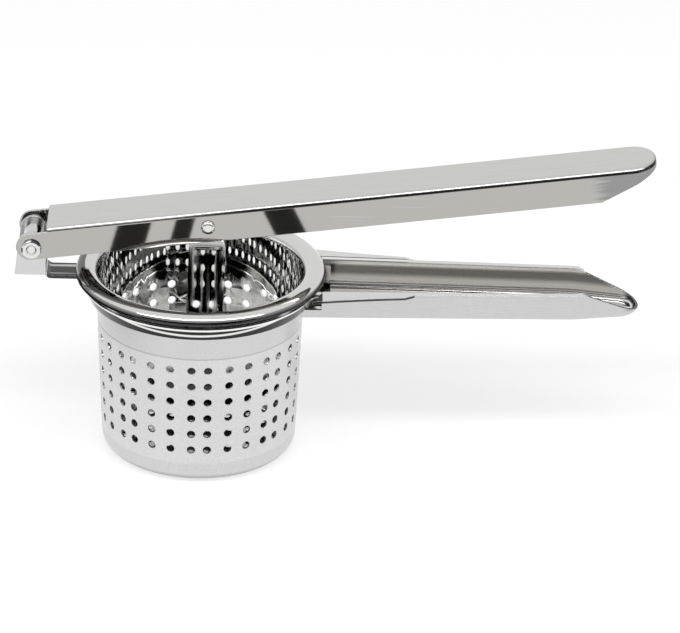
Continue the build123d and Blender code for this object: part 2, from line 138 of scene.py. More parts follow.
class SharedEffects:
    """Shader node groups that several finishes use, each built once."""

    GRAIN_DETAIL = 3.0
    GRAIN_ROUGHNESS = 0.6
    GRAIN_SPAN: Span = (0.25, 0.75)
    SMUDGE_SCALE = 42.0
    SMUDGE_DETAIL = 4.0
    SMUDGE_SPAN: Span = (0.42, 0.72)
    SCRATCH_TURN: Point = (0.0, math.radians(14), math.radians(31))
    SCRATCH_STRETCH: Point = (22.0, 1300.0, 1300.0)
    SCRATCH_SPAN: Span = (0.70, 0.76)
    EDGE_SAMPLES = 4
    EDGE_SPAN: Span = (0.98, 0.75)

    def __init__(self) -> None:
        """Builds the groups."""
        self.grain = self._brushed_grain()
        self.marks = self._handling_marks()
        self.edge = self._sheet_edge()

    @staticmethod
    def _group(name: str, inputs: dict[str, str], outputs: dict[str, str]) -> tuple:
        """Starts a group with its sockets.

        Args:
            name: the group's name.
            inputs: socket names with their types.
            outputs: socket names with their types.

        Returns:
            The group, a bench for it, and its input and output nodes.
        """
        group = bpy.data.node_groups.new(name, "ShaderNodeTree")
        for label, kind in inputs.items():
            group.interface.new_socket(label, in_out="INPUT", socket_type=kind)
        for label, kind in outputs.items():
            group.interface.new_socket(label, in_out="OUTPUT", socket_type=kind)
        bench = NodeBench(group)
        return group, bench, bench.add("NodeGroupInput"), bench.add("NodeGroupOutput")

    def _brushed_grain(self) -> bpy.types.NodeTree:
        """Makes the fine lines that brushing leaves, along a stretched vector.

        Returns:
            The group.
        """
        group, bench, start, end = self._group(
            "brushed_grain", {"Vector": VECTOR, "Fineness": NUMBER}, {"Grain": NUMBER}
        )
        vector, fineness = start.outputs["Vector"], start.outputs["Fineness"]
        noise = bench.noise(vector, fineness, self.GRAIN_DETAIL, self.GRAIN_ROUGHNESS)
        bench.feed(end.inputs["Grain"], bench.ramp(noise, *self.GRAIN_SPAN))
        return group

    def _handling_marks(self) -> bpy.types.NodeTree:
        """Makes wide faint smudges and a few hairline scratches.

        Returns:
            The group.
        """
        group, bench, start, end = self._group(
            "handling_marks", {"Vector": VECTOR}, {"Smudge": NUMBER, "Scratch": NUMBER}
        )
        vector = start.outputs["Vector"]
        cloud = bench.noise(vector, self.SMUDGE_SCALE, self.SMUDGE_DETAIL)
        feeds = {"Vector": vector, "Rotation": self.SCRATCH_TURN, "Scale": self.SCRATCH_STRETCH}
        turn = bench.add("ShaderNodeMapping", feeds)
        hairs = bench.noise(turn.outputs["Vector"], scale=1.0, detail=1.0)
        bench.feed(end.inputs["Smudge"], bench.ramp(cloud, *self.SMUDGE_SPAN))
        bench.feed(end.inputs["Scratch"], bench.ramp(hairs, *self.SCRATCH_SPAN))
        return group

    def _sheet_edge(self) -> bpy.types.NodeTree:
        """Makes the eased edge of a cut sheet, and a mask along it where the edge colour is laid as a
        painted highlight.

        Returns:
            The group.
        """
        group, bench, start, end = self._group(
            "sheet_edge", {"Radius": NUMBER}, {"Edge": NUMBER, "Normal": VECTOR}
        )
        bevel = bench.add("ShaderNodeBevel", {"Radius": start.outputs["Radius"]}, samples=self.EDGE_SAMPLES)
        eased, plain = bevel.outputs["Normal"], bench.add("ShaderNodeNewGeometry").outputs["Normal"]
        match = bench.add("ShaderNodeVectorMath", {0: eased, 1: plain}, operation="DOT_PRODUCT")
        bench.feed(end.inputs["Edge"], bench.ramp(match.outputs["Value"], *self.EDGE_SPAN))
        bench.feed(end.inputs["Normal"], eased)
        return group


class GrainRun(Enum):
    """How the brushing lines run, as the stretch of the grain's vector along x, y and z."""

    LENGTHWISE = (0.03, 1.0, 1.0)
    UPRIGHT = (1.0, 1.0, 0.06)
    EVEN = (1.0, 1.0, 1.0)


@dataclass(frozen=True)
class Look:
    """How a zone of the steel reads.

    Args:
        colour: the metal's colour.
        roughness: how blurred its reflections are.
        grain: how much the brushing moves the roughness.
    """

    colour: Colour
    roughness: float
    grain: float


@dataclass(frozen=True)
class SteelFinish:
    """A finish of pressed steel sheet.

    Args:
        name: the material's name.
        look: its look where no zone lies over it.
        run: how its brushing lines run.
        fineness: how many brushing lines go to a metre, about.
        relief: depth of the brushing, in metres.
        bump: how strongly the brushing tilts reflections.
        edge_radius: how far the sheet's edges are eased, in metres.
        edge_highlight_and_wear: how strongly the edge colour is laid along edges, as a painted highlight,
            and on scratches, as wear.
        edge_colour: the colour of that painted edge highlight and of the worn scratches.
        tilt: angle of the piece about Y, which the brushing follows.
    """

    name: str
    look: Look
    run: GrainRun = GrainRun.EVEN
    fineness: float = 2200.0
    relief: float = 0.0001
    bump: float = 0.5
    edge_radius: float = 0.0003
    edge_highlight_and_wear: float = 0.5
    edge_colour: Colour = (0.86, 0.86, 0.85)
    tilt: float = 0.0


class SteelMaterial:
    """Builds one steel finish as a node material."""

    SMUDGE_SHARE = 0.5  # of the grain, which a smudge adds to the roughness
    # A scratch's wear takes this share of the strength with which the edge colour is laid along edges as a
    # painted highlight.
    SCRATCH_SHARE = 0.35  # of an edge's rubbing, which a scratch has
    TINT_SHARE = 1.6  # of the grain's swing, by which the colour is scaled

    def __init__(self, finish: SteelFinish, effects: SharedEffects) -> None:
        """Starts the material with its coordinates and its first look.

        Args:
            finish: what to build.
            effects: the shared node groups.
        """
        self.finish = finish
        self.effects = effects
        self.material = bpy.data.materials.new(finish.name)
        self.material.use_nodes = True
        self.material.node_tree.nodes.clear()
        self.bench = NodeBench(self.material.node_tree)
        self.place = self.bench.add("ShaderNodeTexCoord")
        self.colour: Feed = finish.look.colour
        self.roughness: Feed = finish.look.roughness
        self.grain: Feed = finish.look.grain

    def axes(self, source: str) -> tuple[Socket, Socket, Socket]:
        """Gives x, y and z of the coordinates or the normal in the piece's untilted frame."""
        return tuple(self.bench.add("ShaderNodeSeparateXYZ", {0: self.turned(source)}).outputs)

    def turned(self, source: str) -> Socket:
        """Gives the coordinates or the normal in the piece's untilted frame."""
        feeds = {"Vector": self.place.outputs[source], "Rotation": (0.0, self.finish.tilt, 0.0)}
        return self.bench.add("ShaderNodeMapping", feeds, vector_type="POINT").outputs["Vector"]

    def lines(self, run: GrainRun, fineness: float) -> Socket:
        """Gives fine lines that run one way over the piece.

        Args:
            run: how the lines run.
            fineness: how many lines go to a metre, about.

        Returns:
            A value between 0 and 1.
        """
        stretch = self.bench.add("ShaderNodeMapping", {"Vector": self.turned("Object"), "Scale": run.value})
        feeds = {"Vector": stretch.outputs["Vector"], "Fineness": fineness}
        return self.bench.add("ShaderNodeGroup", feeds, node_tree=self.effects.grain).outputs["Grain"]

    def lay(self, look: Look, *masks: Socket) -> None:
        """Lays another look over a zone.

        Args:
            look: the zone's look.
            masks: where the zone is, which is where all of them hold.
        """
        mask = self.bench.times(*masks)
        self.colour = self.bench.blend_colour(mask, self.colour, look.colour)
        self.roughness = self.bench.blend(mask, self.roughness, look.roughness)
        self.grain = self.bench.blend(mask, self.grain, look.grain)

    def close(self) -> bpy.types.Material:
        """Adds grain, wear marks and the painted edge highlight, and closes the material.

        Returns:
            The finished material.
        """
        bench, finish = self.bench, self.finish
        feeds = {"Vector": self.place.outputs["Object"]}
        marks = bench.add("ShaderNodeGroup", feeds, node_tree=self.effects.marks)
        edge = bench.add("ShaderNodeGroup", {"Radius": finish.edge_radius}, node_tree=self.effects.edge)

        swing = bench.math("SUBTRACT", self.lines(finish.run, finish.fineness), 0.5)
        swing = bench.times(swing, self.grain)
        smudge = bench.times(marks.outputs["Smudge"], self.grain, self.SMUDGE_SHARE)
        rough = bench.math("ADD", smudge, bench.math("ADD", swing, self.roughness))
        # Scratches are wear; along the sheet's edges the edge colour is a painted highlight.
        wear_and_edge_highlight = bench.times(marks.outputs["Scratch"], self.SCRATCH_SHARE)
        wear_and_edge_highlight = bench.times(bench.math("MAXIMUM", wear_and_edge_highlight, edge.outputs["Edge"]), finish.edge_highlight_and_wear)
        shade = bench.math("ADD", bench.times(swing, self.TINT_SHARE), 1.0)
        tinted = bench.add("ShaderNodeVectorMath", {0: self.colour, "Scale": shade}, operation="SCALE")
        colour = bench.blend_colour(wear_and_edge_highlight, tinted.outputs[0], finish.edge_colour)
        eased = edge.outputs["Normal"]
        feeds = {"Strength": finish.bump, "Distance": finish.relief, "Height": swing, "Normal": eased}
        relief = bench.add("ShaderNodeBump", feeds).outputs["Normal"]

        feeds = {"Metallic": 1.0, "Base Color": colour, "Roughness": rough, "Normal": relief}
        steel = bench.add("ShaderNodeBsdfPrincipled", feeds)
        bench.add("ShaderNodeOutputMaterial", {"Surface": steel.outputs["BSDF"]})
        return self.material


def dress_node(node: str, material: bpy.types.Material) -> None:
    """Gives a CAD node its finish.

    Args:
        node: the node's name.
        material: the finish.
    """
    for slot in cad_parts[node].material_slots:
        slot.material = material
    LOG.info("dressed %s in %s", node, material.name)


@dataclass
class Basket:
    """The perforated cup with its wide rim.

    Args:
        effects: the shared node groups.
        bottom_radius: outer radius of the cup at its bottom.
        neck_radius: outer radius of the cup at its rim.
        sheet: thickness of the steel.
        seam_height: height of the fine line above the holes.
        seam_width: width of that line.
        foot_height: height of the plain stretch below the holes.
        corner: radius of the cup's rounded bottom edge.
        blur: width over which one zone fades into the next.
        dark_start: height under which the painted shade of the inside begins.
        dark_end: height under which that painted shade is at its darkest.
        lip_top: how far below the rim's top the lip, with its painted dark reflection, begins.
        lip_dark: how far below the rim's top that painted reflection is at its darkest.
        shade_inner: radius of the flange's painted shade line at the front, and how much it grows to the
            left.
        shade_outer: the same for the line's outer side.
        shade_fade: how far to the left, from -1 to 1, that line begins, and where it shows fully.
        streak_fineness: how many painted reflection streaks of the inside go to a metre, about.
        streak_span: the values of those streaks that turn bright.
        outside: finish of the cup's outside.
    """

    effects: SharedEffects
    bottom_radius: float = 0.0398
    neck_radius: float = 0.0429
    sheet: float = 0.0009
    seam_height: float = 0.0574
    seam_width: float = 0.0004
    foot_height: float = 0.0095
    corner: float = 0.0035
    blur: float = 0.0002
    dark_start: float = 0.044
    dark_end: float = 0.034
    lip_top: float = 0.0013
    lip_dark: float = 0.0026
    shade_inner: Pair = (0.0451, 0.0020)
    shade_outer: Pair = (0.0473, 0.0030)
    shade_fade: Span = (-0.8, -0.2)
    under_facing: Span = (-0.35, -0.80)
    inward_facing: Span = (0.2, -0.2)
    streak_fineness: float = 700.0
    streak_span: Span = (0.5, 0.8)
    outside: SteelFinish = SteelFinish(
        "basket satin steel", Look((0.69, 0.69, 0.695), 0.30, 0.13), edge_radius=0.0002
    )
    inside_look: Look = Look((0.86, 0.86, 0.85), 0.008, 0.001)
    # Painted reflection: bright upright streaks on the inside.
    inside_reflection_streak_look: Look = Look((0.95, 0.95, 0.94), 0.02, 0.001)
    # Painted shade: the inside darkens towards the floor.
    depth_shade_look: Look = Look((0.41, 0.41, 0.41), 0.04, 0.004)
    plain_look: Look = Look((0.625, 0.625, 0.63), 0.27, 0.02)
    seam_look: Look = Look((0.52, 0.52, 0.53), 0.40, 0.02)
    # Painted shade on the rounded bottom edge.
    corner_shade_look: Look = Look((0.26, 0.26, 0.26), 0.30, 0.02)
    flange_look: Look = Look((0.78, 0.775, 0.76), 0.05, 0.01)
    # Painted: the flange's shade line, and the lip's dark reflection, darkest lower down.
    shade_look: Look = Look((0.16, 0.16, 0.155), 0.06, 0.01)
    lip_reflection_look: Look = Look((0.30, 0.30, 0.30), 0.06, 0.01)
    lip_dark_reflection_look: Look = Look((0.05, 0.05, 0.05), 0.05, 0.01)

    def dress(self) -> None:
        """Builds the finish with its zones and puts it on the cup."""
        steel = SteelMaterial(self.outside, self.effects)
        self._lay_wall(steel)
        self._lay_rim(steel)
        self._lay_inside(steel)
        dress_node("basket", steel.close())

    def _lay_wall(self, steel: SteelMaterial) -> None:
        """Lays the plain band and foot, the fine line above the holes and the painted shade on the bottom
        edge.

        Args:
            steel: the material under way.
        """
        bench = steel.bench
        x, y, height = steel.axes("Object")
        upward = steel.axes("Normal")[2]
        band = bench.ramp(height, self.seam_height - self.blur, self.seam_height + self.blur)
        foot = bench.ramp(height, self.foot_height, self.foot_height - self.sheet)
        steel.lay(self.plain_look, bench.math("MAXIMUM", band, foot))
        steel.lay(self.seam_look, bench.line(height, self.seam_height, self.seam_width, self.seam_width / 2))
        # Painted shade on the rounded bottom edge, where it faces down.
        outer = bench.ramp(bench.length(x, y), self.bottom_radius - self.corner, self.bottom_radius)
        steel.lay(self.corner_shade_look, outer, bench.ramp(upward, *self.under_facing))

    def _lay_rim(self, steel: SteelMaterial) -> None:
        """Lays the bright flange with its painted shade line, and the lip's painted dark reflection that
        darkens downwards.

        Args:
            steel: the material under way.
        """
        bench = steel.bench
        x, y, height = steel.axes("Object")
        radius = bench.length(x, y)
        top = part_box("basket")[1].z
        lip = top - self.lip_top
        # Painted dark reflection on the lip, darkest lower down.
        beyond_neck = bench.ramp(radius, self.neck_radius + self.sheet, self.neck_radius + 2 * self.sheet)
        steel.lay(self.lip_reflection_look, beyond_neck)
        steel.lay(self.lip_dark_reflection_look, beyond_neck, bench.ramp(height, lip - self.blur, top - self.lip_dark))
        high_up = bench.ramp(height, lip - self.blur, lip + self.blur)
        outward = bench.ramp(radius, self.neck_radius - self.blur, self.neck_radius)
        steel.lay(self.flange_look, high_up, outward)
        # Painted shade line on the flange, widening to the left.
        leftward = bench.math("DIVIDE", bench.times(x, -1.0), radius)
        inner, outer = (
            bench.math("ADD", bench.times(leftward, growth), start)
            for start, growth in (self.shade_inner, self.shade_outer)
        )
        after = bench.ramp(bench.math("SUBTRACT", radius, inner), -self.blur, self.blur)
        before = bench.ramp(bench.math("SUBTRACT", outer, radius), -self.blur, self.blur)
        steel.lay(self.shade_look, after, before, high_up, bench.ramp(leftward, *self.shade_fade))

    def _lay_inside(self, steel: SteelMaterial) -> None:
        """Lays the mirror of the inside, with painted upright reflection streaks and painted shade that
        darkens it towards the floor.

        Args:
            steel: the material under way.
        """
        bench = steel.bench
        x, y, height = steel.axes("Object")
        across, along, upward = steel.axes("Normal")
        radius = bench.length(x, y)
        slope = (self.neck_radius - self.bottom_radius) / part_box("basket")[1].z
        wall = bench.math("ADD", bench.times(height, slope), self.bottom_radius - self.sheet / 2)
        within = bench.ramp(bench.math("SUBTRACT", wall, radius), 0.0, self.blur / 2)
        outward = bench.math("ADD", bench.times(across, x), bench.times(along, y))
        outward = bench.math("SUBTRACT", bench.math("DIVIDE", outward, radius), upward)
        inside = bench.times(within, bench.ramp(outward, *self.inward_facing))
        # Painted reflection streaks, and painted shade darkening the inside towards the floor.
        streak = bench.ramp(steel.lines(GrainRun.UPRIGHT, self.streak_fineness), *self.streak_span)
        steel.lay(self.inside_look, inside)
        steel.lay(self.inside_reflection_streak_look, inside, streak)
        steel.lay(self.depth_shade_look, inside, bench.ramp(height, self.dark_start, self.dark_end))


@dataclass
class RingFrame:
    """The ring under the rim and the trough handle welded to it.

    Args:
        effects: the shared node groups.
        sheet: thickness of the handle's steel.
        reflection_rise: height of the painted streak of reflected light on the ring, at the front.
        reflection_climb: how far that painted streak would climb at the sides.
        reflection_half: half that painted streak's width.
        edge_highlight_height: height of the painted highlight along the ring's upper edge.
        ring_drop: how far the ring's band begins below the handle's edges.
        ring_reach: how far the ring's round part reaches along x.
        root_half: half the trough's width at its root, and where along x the root is.
        taper: how much half the trough's width shrinks along x.
        wing_end: where along x the wings end.
        wing_clear: how far from the middle the wings' cut edges stay.
        bead_lines: where the far bead's painted shade lines lie beside its wall, in sheet thicknesses.
        slant_start: where along x the slanted end begins.
        root_end: where along x the painted dark reflection at the handle's root ends, beside the ring at the
            front.
        root_slope: height of that painted reflection's lower edge at x = 0, and how much it climbs along x.
        edge_bright: height of the painted highlight strip along the far wall's edge.
        edge_light: how far below the edge the painted dark reflection strip on the far wall begins.
        far_dark: how far below the edge that strip ends.
        strip_blur: width over which that strip fades.
        ring: finish of the ring, whose near-black colour is a painted dark reflection.
        handle: finish of the handle's outside.
    """

    effects: SharedEffects
    sheet: float = 0.001
    reflection_rise: float = 0.0705
    reflection_climb: float = 0.0112
    reflection_half: float = 0.0006
    edge_highlight_height: float = 0.0011
    ring_drop: float = 0.0022
    ring_reach: float = 0.0502
    root_half: Pair = (0.0165, 0.0400)
    taper: float = 0.0311
    wing_end: float = 0.0860
    wing_clear: float = 0.0168
    bead_lines: Pair = (-0.8, 2.0)
    slant_start: float = 0.1552
    root_end: float = 0.0499
    root_slope: Pair = (0.0423, 0.59)
    edge_bright: float = 0.0014
    edge_light: float = 0.0027
    far_dark: float = 0.0062
    strip_blur: float = 0.0015
    inner_facing: Span = (0.3, 0.6)
    wall_facing: Span = (0.7, 0.9)
    fold_in_facing: Span = (0.55, 0.75)
    fold_up_facing: Span = (0.35, 0.55)
    slant_end_facing: Span = (0.15, 0.30)
    slant_up_facing: Span = (0.6, 0.8)
    nose_facing: Span = (-0.35, -0.65)
    flat_facing: Span = (0.8, 0.95)
    cut_facing: Span = (0.5, 0.3)
    # The ring's near-black colour is a painted dark reflection.
    ring: SteelFinish = SteelFinish(
        "ring polished steel painted dark",
        Look((0.025, 0.025, 0.025), 0.05, 0.01),
        edge_radius=0.0004,
        edge_colour=(0.92, 0.92, 0.91),
    )
    # Painted highlight along the top edge, and a painted streak of reflected light.
    ring_edge_highlight_look: Look = Look((0.90, 0.90, 0.89), 0.20, 0.02)
    ring_reflection_look: Look = Look((0.80, 0.80, 0.79), 0.10, 0.02)
    ring_end_look: Look = Look((0.40, 0.39, 0.375), 0.12, 0.02)
    handle: SteelFinish = SteelFinish(
        "handle satin steel", Look((0.60, 0.60, 0.60), 0.28, 0.06), GrainRun.LENGTHWISE
    )
    trough_look: Look = Look((0.90, 0.89, 0.87), 0.10, 0.02)
    # Painted reflection on the far wall only: a darker wall, with a dark strip below its edge.
    far_wall_reflection_look: Look = Look((0.60, 0.585, 0.565), 0.12, 0.02)
    dark_strip_reflection_look: Look = Look((0.19, 0.19, 0.18), 0.12, 0.02)
    # Painted shade on the trough's far fold and on the handle's slanted end.
    fold_look: Look = Look((0.10, 0.10, 0.10), 0.12, 0.02)
    wing_look: Look = Look((0.82, 0.82, 0.81), 0.24, 0.04)
    # Painted highlight along the far wall's edge and on the far bead.
    bead_highlight_look: Look = Look((0.95, 0.95, 0.94), 0.24, 0.02)
    # Painted shade lines along the far bead and on the wings' cut edges.
    shade_line_look: Look = Look((0.07, 0.07, 0.07), 0.20, 0.02)
    # Painted dark reflection of the ring on the handle's root, at the front only.
    root_reflection_look: Look = Look((0.012, 0.012, 0.012), 0.06, 0.01)

    def dress(self) -> None:
        """Builds the finishes and puts them on the ring and the handle."""
        self._dress_ring()
        self._dress_handle()

    def _dress_ring(self) -> None:
        """Gives the ring a near-black colour as painted dark reflection, a painted highlight along its top
        edge and one painted streak of reflected light.
        """
        # Starts from the near-black of the painted dark reflection.
        steel = SteelMaterial(self.ring, self.effects)
        bench = steel.bench
        x, y, height = steel.axes("Object")
        # Painted streak of reflected light, which climbs towards the sides.
        front = bench.math("DIVIDE", bench.times(y, -1.0), bench.length(x, y))
        fall = bench.math("SUBTRACT", 1.0, front)
        middle = bench.math("ADD", bench.times(fall, self.reflection_climb), self.reflection_rise)
        streak = bench.line(height, middle, self.reflection_half * 1.5, self.reflection_half / 2)
        steel.lay(self.ring_reflection_look, streak)
        # Painted highlight along the band's top edge.
        band_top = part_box("lower_handle")[1].z - self.ring_drop
        highlight_middle = band_top - self.edge_highlight_height / 2
        edge = bench.line(height, highlight_middle, self.edge_highlight_height * 0.6, self.edge_highlight_height * 0.4)
        round_part = bench.ramp(x, self.ring_reach + self.sheet / 2, self.ring_reach)
        steel.lay(self.ring_edge_highlight_look, edge, round_part)
        steel.lay(self.ring_end_look, bench.math("SUBTRACT", 1.0, round_part))
        dress_node("frame_ring", steel.close())

    def _dress_handle(self) -> None:
        """Gives the handle a satin outside, a polished trough, and lines along its beads and wings."""
        steel = SteelMaterial(self.handle, self.effects)
        self._lay_trough(steel)
        self._lay_wings(steel)
        dress_node("lower_handle", steel.close())

    def _lay_trough(self, steel: SteelMaterial) -> None:
        """Lays the bright trough, the painted reflection strips on its far wall, and painted shade on its
        folds and slanted end.

        Args:
            steel: the material under way.
        """
        bench = steel.bench
        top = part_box("lower_handle")[1].z
        x, y, height = steel.axes("Object")
        across, along, upward = steel.axes("Normal")
        facing_in = bench.times(along, -1.0, bench.math("SIGN", y))
        inner = bench.ramp(bench.math("MAXIMUM", facing_in, upward), *self.inner_facing)
        below_edge = bench.ramp(height, top - self.sheet / 4, top - self.sheet / 2)
        trough = bench.times(inner, below_edge)
        steel.lay(self.trough_look, trough)
        # Painted reflection on the far wall only: a darker wall, a highlight strip along its edge and a dark
        # strip below that.
        far = bench.times(trough, bench.ramp(y, 0.0, self.sheet))
        far_wall = bench.times(far, bench.ramp(facing_in, *self.wall_facing))
        steel.lay(self.far_wall_reflection_look, far_wall)
        bright_low = top - self.edge_bright
        steel.lay(self.bead_highlight_look, far_wall, bench.ramp(height, bright_low - self.sheet / 4, bright_low))
        dark_top, dark_low = top - self.edge_light, top - self.far_dark
        under_light = bench.ramp(height, dark_top + self.strip_blur, dark_top)
        over_low = bench.ramp(height, dark_low - self.strip_blur, dark_low + self.strip_blur)
        steel.lay(self.dark_strip_reflection_look, far_wall, under_light, over_low)
        # Painted shade on the far fold, and on the slanted end and its nose.
        steep = bench.ramp(facing_in, *self.fold_in_facing)
        steel.lay(self.fold_look, far, steep, bench.ramp(upward, *self.fold_up_facing))
        beyond = bench.ramp(x, self.slant_start, self.slant_start + self.sheet)
        endward = bench.ramp(across, *self.slant_end_facing)
        slant = bench.times(endward, bench.ramp(upward, *self.slant_up_facing))
        nose = bench.times(bench.ramp(across, *self.nose_facing), below_edge)
        steel.lay(self.fold_look, beyond, bench.math("MAXIMUM", slant, nose))

    def _lay_wings(self, steel: SteelMaterial) -> None:
        """Lays the flat tops of beads and wings, the far bead's painted highlight and shade lines, painted
        shade on the cut edges and a painted dark reflection at the root.

        Args:
            steel: the material under way.
        """
        bench = steel.bench
        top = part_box("lower_handle")[1].z
        x, y, height = steel.axes("Object")
        upward = steel.axes("Normal")[2]
        at_top = bench.ramp(height, top - self.sheet * 1.5, top - self.sheet)
        flat = bench.times(bench.ramp(upward, *self.flat_facing), at_top)
        steel.lay(self.wing_look, flat)
        half, start = self.root_half
        from_root = bench.times(bench.math("SUBTRACT", x, start), self.taper)
        off_wall = bench.math("ADD", bench.math("SUBTRACT", y, half), from_root)
        # Painted highlight and shade lines along the far bead.
        far_flat = bench.times(flat, bench.ramp(x, self.wing_end, self.wing_end - 2 * self.sheet))
        steel.lay(self.bead_highlight_look, far_flat, bench.line(off_wall, self.sheet / 2, self.sheet * 2, self.sheet))
        for place in self.bead_lines:
            line = bench.line(off_wall, self.sheet * place, self.sheet * 0.5, self.sheet * 0.2)
            steel.lay(self.shade_line_look, far_flat, line)
        # Painted shade on the wings' cut edges.
        beyond = bench.ramp(bench.math("ABSOLUTE", y), self.wing_clear, self.wing_clear + self.sheet / 4)
        steel.lay(self.shade_line_look, beyond, at_top, bench.ramp(upward, *self.cut_facing))
        # Painted dark reflection at the root, beside the ring, at the front only.
        low_start, climb = self.root_slope
        low_edge = bench.math("ADD", bench.times(x, climb), low_start)
        above = bench.ramp(bench.math("SUBTRACT", height, low_edge), 0.0, self.sheet / 2)
        before_ring = bench.ramp(x, self.root_end + self.sheet / 4, self.root_end)
        front = bench.ramp(y, 0.0, -self.sheet)
        steel.lay(self.root_reflection_look, beyond, front, above, before_ring)


@dataclass
class Hinge:
    """The bracket, pin, sleeve and washers at the left of the ring.

    Args:
        effects: the shared node groups.
        cheek_end: where the cheeks end and the tongue to the ring begins.
        pin_place: the pin's middle, along x and z.
        dimple: radius of the dimple in the pin's heads.
        blur: width over which one zone fades into the next.
        streak_fineness: how many painted reflection streaks of the tongue go to a metre, about.
        streak_span: the values of those streaks that turn bright.
        bracket: finish of the bracket.
        pin: finish of the pin.
        sleeve: finish of the sleeve and the washers.
    """

    effects: SharedEffects
    cheek_end: float = -0.0626
    pin_place: Pair = (-0.0683, 0.0911)
    dimple: float = 0.0023
    blur: float = 0.0003
    streak_fineness: float = 420.0
    streak_span: Span = (0.55, 0.8)
    head_facing: Span = (0.2, 0.45)
    dimple_facing: Span = (-0.1, -0.3)
    bracket: SteelFinish = SteelFinish("bracket satin steel", Look((0.645, 0.645, 0.65), 0.24, 0.05))
    # Painted shade on the tongue, with painted reflection streaks.
    tongue_shade_look: Look = Look((0.06, 0.06, 0.06), 0.06, 0.01)
    tongue_reflection_streak_look: Look = Look((0.62, 0.62, 0.61), 0.10, 0.01)
    pin: SteelFinish = SteelFinish("pin bright steel", Look((0.72, 0.72, 0.71), 0.07, 0.03))
    pin_shade_look: Look = Look((0.05, 0.05, 0.05), 0.08, 0.02)
    sleeve: SteelFinish = SteelFinish("sleeve bright steel", Look((0.74, 0.74, 0.73), 0.08, 0.03))

    def dress(self) -> None:
        """Builds the finishes and puts them on the hinge's pieces."""
        self._dress_bracket()
        sleeve = SteelMaterial(self.sleeve, self.effects).close()
        dress_node("hinge_washers", sleeve)
        dress_node("hinge_sleeve", sleeve)
        self._dress_pin()

    def _dress_bracket(self) -> None:
        """Gives the bracket satin cheeks, and a tongue with painted shade and painted reflection streaks."""
        steel = SteelMaterial(self.bracket, self.effects)
        bench = steel.bench
        # Painted shade on the tongue, with painted reflection streaks.
        tongue = bench.ramp(steel.axes("Object")[0], self.cheek_end, self.cheek_end + self.blur)
        streak = bench.ramp(steel.lines(GrainRun.LENGTHWISE, self.streak_fineness), *self.streak_span)
        steel.lay(self.tongue_shade_look, tongue)
        steel.lay(self.tongue_reflection_streak_look, tongue, streak)
        dress_node("hinge_bracket", steel.close())

    def _dress_pin(self) -> None:
        """Gives the pin bright heads that are shaded above and in the top of their dimples."""
        steel = SteelMaterial(self.pin, self.effects)
        bench = steel.bench
        x, _, height = steel.axes("Object")
        upward = steel.axes("Normal")[2]
        aside = bench.math("SUBTRACT", x, self.pin_place[0])
        above = bench.math("SUBTRACT", height, self.pin_place[1])
        radius = bench.length(aside, above)
        head = bench.times(
            bench.ramp(upward, *self.head_facing),
            bench.ramp(aside, -2 * self.blur, self.blur),
            bench.ramp(radius, self.dimple + self.blur, self.dimple + 2 * self.blur),
        )
        hollow = bench.times(
            bench.ramp(upward, *self.dimple_facing),
            bench.ramp(radius, self.dimple, self.dimple - self.blur),
        )
        steel.lay(self.pin_shade_look, bench.math("MAXIMUM", head, hollow))
        dress_node("hinge_pin", steel.close())


